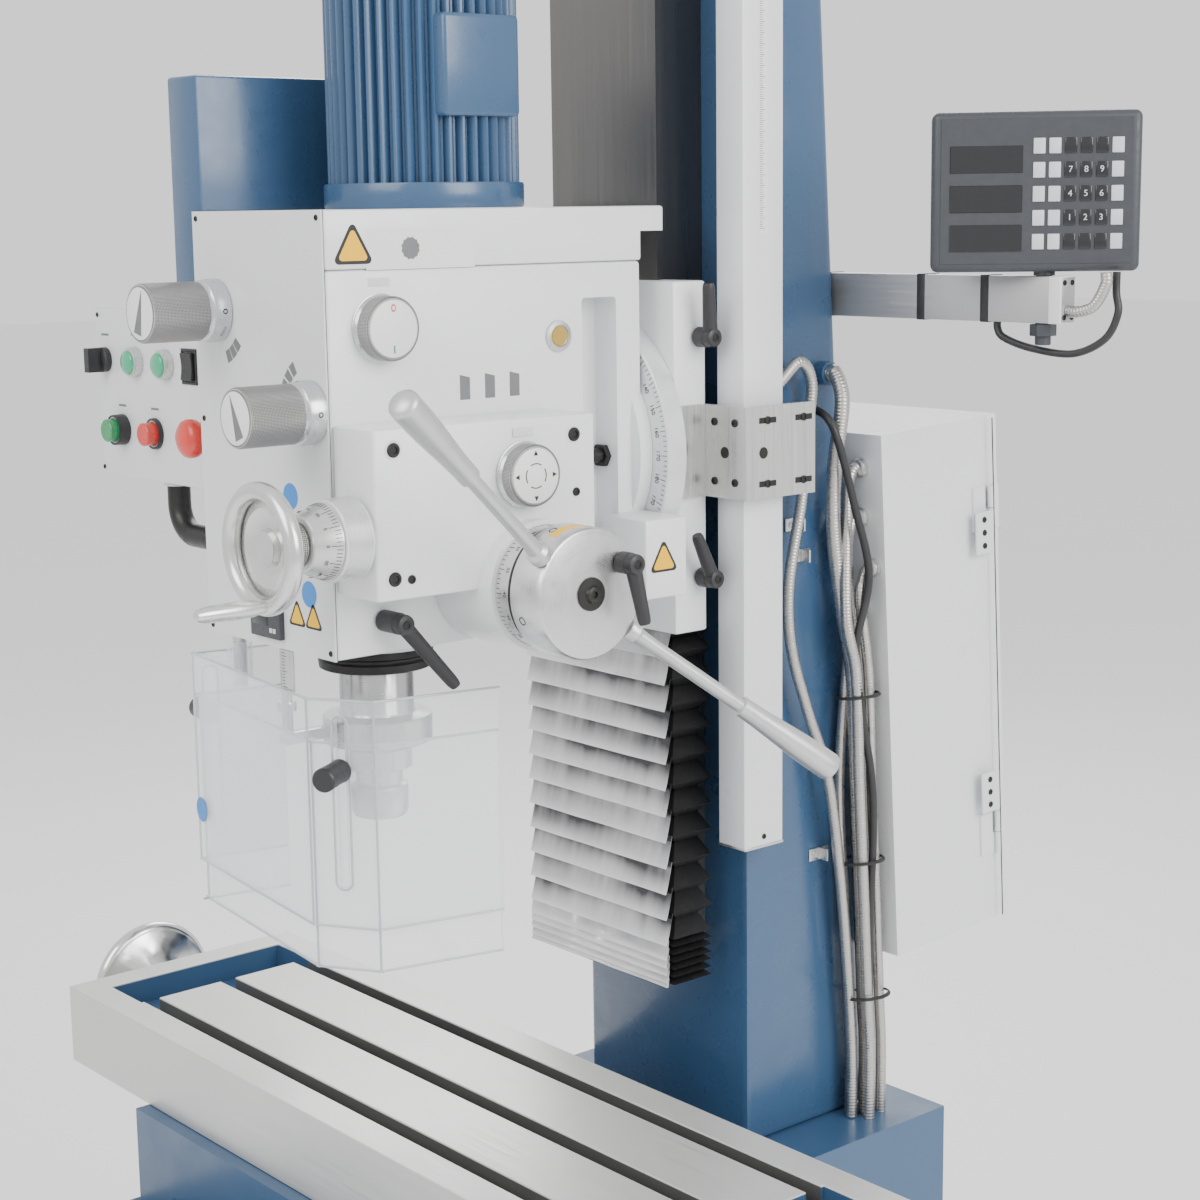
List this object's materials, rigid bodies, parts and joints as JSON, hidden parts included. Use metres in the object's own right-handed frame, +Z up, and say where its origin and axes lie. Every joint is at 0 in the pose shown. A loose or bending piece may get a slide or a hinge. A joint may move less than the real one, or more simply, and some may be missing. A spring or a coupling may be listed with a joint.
{
  "type": "vertical milling machine",
  "caption": "Bench-height vertical mill: swivelling gear head on a column carriage, slotted cross table, quill feed handle, swing guard, readout arm and cabinet.",
  "frame": {"origin": "on the floor, on the spindle's axis at rest, at the underside of the rib across the base", "axes": "+Z up along the spindle, +X along the table's travel to the operator's right, +Y from the operator to the column"},
  "size_m": [1.1403, 1.2734, 2.2353],
  "materials": {
    "white_enamel": "cool white machine enamel",
    "blue_enamel": "blue machine enamel",
    "cast_head": "cast iron, enamelled cool white",
    "cast_blue": "cast iron, enamelled blue",
    "ground_iron": "ground and scraped",
    "turned_steel": "turned",
    "bright_aluminium": "satin, knurled or polished",
    "black_plastic": "fine matt",
    "black_steel": "blackened",
    "rubber_fold": "folded cover under steel slats",
    "conduit": "ribbed flexible",
    "clear_guard": "clear polycarbonate",
    "green_button": "moulded",
    "red_button": "moulded"
  },
  "bodies": {
    "frame": {"base": "cast_blue", "column": "cast_blue", "column_cap": "blue_enamel", "column_way": "ground_iron", "z_motor": "blue_enamel", "scale_housing": "white_enamel", "cabinet": "white_enamel", "readout_bracket": "black_steel", "scale_conduit": "conduit", "motor_conduit": "conduit", "control_cable": "black_plastic"},
    "cabinet_door": {"cabinet_door": "white_enamel"},
    "readout_arm": {"readout_arm": "bright_aluminium", "readout_conduit": "conduit", "readout_cable": "black_plastic"},
    "readout_display": {"readout_display": "black_plastic"},
    "saddle": {"saddle": "cast_blue"},
    "table": {"table": "ground_iron"},
    "x_handwheel": {"x_handwheel": "bright_aluminium"},
    "y_handwheel": {"y_handwheel": "bright_aluminium"},
    "carriage": {"carriage": "cast_head", "swivel_disc": "cast_head", "scale_bracket": "bright_aluminium", "way_bellows": "rubber_fold"},
    "carriage_lever_upper": {"carriage_lever_upper": "black_plastic"},
    "carriage_lever_lower": {"carriage_lever_lower": "black_plastic"},
    "head": {"head": "cast_head", "top_cover": "cast_head", "front_plate": "white_enamel", "feed_box": "cast_head", "switch_box": "white_enamel", "quill_ring": "black_steel", "spindle_motor": "blue_enamel", "side_box": "blue_enamel", "panel_tube": "black_steel", "guard_post": "turned_steel"},
    "speed_knob_left": {"speed_knob_left": "bright_aluminium"},
    "speed_knob_right": {"speed_knob_right": "bright_aluminium"},
    "gear_knob": {"gear_knob": "bright_aluminium"},
    "feed_knob": {"feed_knob": "bright_aluminium"},
    "feed_handle": {"feed_hub": "bright_aluminium", "feed_spoke_1": "turned_steel", "feed_spoke_2": "turned_steel"},
    "feed_hub_lever": {"feed_hub_lever": "black_plastic"},
    "fine_feed": {"fine_dial": "bright_aluminium", "fine_feed_wheel": "bright_aluminium"},
    "quill": {"quill": "turned_steel"},
    "spindle": {"spindle": "turned_steel"},
    "quill_clamp_lever": {"quill_clamp_lever": "black_plastic"},
    "control_panel": {"control_panel": "white_enamel"},
    "mode_selector": {"mode_selector": "black_plastic"},
    "rocker_switch": {"rocker_switch": "black_plastic"},
    "start_button": {"start_button": "green_button"},
    "stop_button": {"stop_button": "red_button"},
    "emergency_stop": {"emergency_stop": "red_button"},
    "guard_upper": {"guard_upper": "clear_guard"},
    "guard_lower": {"guard_lower": "clear_guard"},
    "guard_knob_left": {"guard_knob_left": "black_plastic"},
    "guard_knob_right": {"guard_knob_right": "black_plastic"}
  },
  "joints": [
    {"name": "cabinet_door_hinge", "type": "hinge", "parent": "frame", "child": "cabinet_door", "pos_m": [0.186, 0.715, 1.39215], "axis": [0, 0.0589, -0.9983], "range_deg": [0, 110]},
    {"name": "readout_arm_swivel", "type": "hinge", "parent": "frame", "child": "readout_arm", "pos_m": [0.068, 0.536, 1.533], "axis": [0, 0, 1], "range_deg": [0, 70]},
    {"name": "readout_display_swivel", "type": "hinge", "parent": "readout_arm", "child": "readout_display", "pos_m": [0.402, 0.536, 1.5605], "axis": [0, 0, 1], "range_deg": [-40, 40]},
    {"name": "saddle_slide", "type": "slide", "parent": "frame", "child": "saddle", "axis": [0, 1, 0], "range_m": [-0.15, 0.19]},
    {"name": "y_handwheel_turn", "type": "hinge", "parent": "frame", "child": "y_handwheel", "pos_m": [0, -0.3653, 0.52], "axis": [0, 1, 0], "range_deg": [-10800, 13680]},
    {"name": "table_slide", "type": "slide", "parent": "saddle", "child": "table", "axis": [1, 0, 0], "range_m": [-0.4, 0.08]},
    {"name": "x_handwheel_turn", "type": "hinge", "parent": "table", "child": "x_handwheel", "pos_m": [-0.3373, -0.046, 0.751], "axis": [1, 0, 0], "range_deg": [-28800, 5760]},
    {"name": "carriage_slide", "type": "slide", "parent": "frame", "child": "carriage", "axis": [0, 0, 1], "range_m": [-0.05, 0.33], "deforming": ["way_bellows"]},
    {"name": "carriage_lever_upper_turn", "type": "hinge", "parent": "carriage", "child": "carriage_lever_upper", "pos_m": [0.13, 0.32, 1.497], "axis": [1, 0, 0], "range_deg": [0, 45]},
    {"name": "carriage_lever_lower_turn", "type": "hinge", "parent": "carriage", "child": "carriage_lever_lower", "pos_m": [0.13, 0.322, 1.248], "axis": [1, 0, 0], "range_deg": [0, 45]},
    {"name": "head_swivel", "type": "hinge", "parent": "carriage", "child": "head", "pos_m": [0, 0.26, 1.38], "axis": [0, 1, 0], "range_deg": [-45, 20]},
    {"name": "speed_knob_left_turn", "type": "hinge", "parent": "head", "child": "speed_knob_left", "pos_m": [-0.073, -0.122, 1.536], "axis": [0, -1, 0], "range_deg": [-90, 90]},
    {"name": "speed_knob_right_turn", "type": "hinge", "parent": "head", "child": "speed_knob_right", "pos_m": [0.086, -0.122, 1.447], "axis": [0, -1, 0], "range_deg": [-90, 90]},
    {"name": "gear_knob_turn", "type": "hinge", "parent": "head", "child": "gear_knob", "pos_m": [0.1123, -0.061, 1.522], "axis": [1, 0, 0], "range_deg": [-90, 90]},
    {"name": "feed_knob_turn", "type": "hinge", "parent": "head", "child": "feed_knob", "pos_m": [0.18651, 0.045, 1.384], "axis": [0.9988, -0.0484, 0], "range_deg": [0, 270]},
    {"name": "feed_handle_turn", "type": "hinge", "parent": "head", "child": "feed_handle", "pos_m": [0.2018, 0.055, 1.279], "axis": [1, 0, 0], "range_deg": [0, 229.2]},
    {"name": "feed_hub_lever_turn", "type": "hinge", "parent": "feed_handle", "child": "feed_hub_lever", "pos_m": [0.2703, 0.091, 1.305], "axis": [1, 0, 0], "range_deg": [-40, 40]},
    {"name": "fine_feed_turn", "type": "hinge", "parent": "head", "child": "fine_feed", "pos_m": [0.146, -0.1523, 1.337], "axis": [0, -1, 0], "continuous": true},
    {"name": "quill_slide", "type": "slide", "parent": "head", "child": "quill", "axis": [0, 0, -1], "range_m": [0, 0.1201]},
    {"name": "spindle_turn", "type": "hinge", "parent": "quill", "child": "spindle", "pos_m": [0, 0, 1.1047], "axis": [0, 0, 1], "continuous": true},
    {"name": "quill_clamp_lever_turn", "type": "hinge", "parent": "head", "child": "quill_clamp_lever", "pos_m": [0.1123, -0.068, 1.25], "axis": [1, 0, 0], "range_deg": [0, 30]},
    {"name": "control_panel_swivel", "type": "hinge", "parent": "head", "child": "control_panel", "pos_m": [-0.297, -0.045, 1.347], "axis": [0, 0, 1], "range_deg": [-60, 60]},
    {"name": "mode_selector_turn", "type": "hinge", "parent": "control_panel", "child": "mode_selector", "pos_m": [-0.389, -0.0753, 1.473], "axis": [0, -1, 0], "range_deg": [-45, 45]},
    {"name": "rocker_switch_tilt", "type": "hinge", "parent": "control_panel", "child": "rocker_switch", "pos_m": [-0.2105, -0.077, 1.473], "axis": [1, 0, 0], "range_deg": [-8, 8]},
    {"name": "start_button_press", "type": "slide", "parent": "control_panel", "child": "start_button", "axis": [0, 1, 0], "range_m": [0, 0.004], "stiffness_N_per_m": 300},
    {"name": "stop_button_press", "type": "slide", "parent": "control_panel", "child": "stop_button", "axis": [0, 1, 0], "range_m": [0, 0.004], "stiffness_N_per_m": 300},
    {"name": "emergency_stop_press", "type": "slide", "parent": "control_panel", "child": "emergency_stop", "axis": [0, 1, 0], "range_m": [0, 0.005]},
    {"name": "guard_swing", "type": "hinge", "parent": "head", "child": "guard_upper", "pos_m": [-0.135, -0.075, 1.178], "axis": [0, 0, -1], "range_deg": [0, 100]},
    {"name": "guard_lower_slide", "type": "slide", "parent": "guard_upper", "child": "guard_lower", "axis": [0, 0, 1], "range_m": [-0.04, 0.03]},
    {"name": "guard_knob_left_turn", "type": "hinge", "parent": "guard_lower", "child": "guard_knob_left", "pos_m": [-0.196, -0.076, 1.11], "axis": [-0.9785, 0.206, 0], "range_deg": [0, 180]},
    {"name": "guard_knob_right_turn", "type": "hinge", "parent": "guard_lower", "child": "guard_knob_right", "pos_m": [0.0995, -0.1115, 1.11], "axis": [0.5313, -0.8472, 0], "range_deg": [0, 180]}
  ],
  "couplings": [
    {"joint": "quill_slide", "follows": "feed_handle_turn", "m_per_rad": 0.03},
    {"joint": "x_handwheel_turn", "follows": "table_slide", "rad_per_m": 1256.6},
    {"joint": "y_handwheel_turn", "follows": "saddle_slide", "rad_per_m": 1256.6}
  ]
}
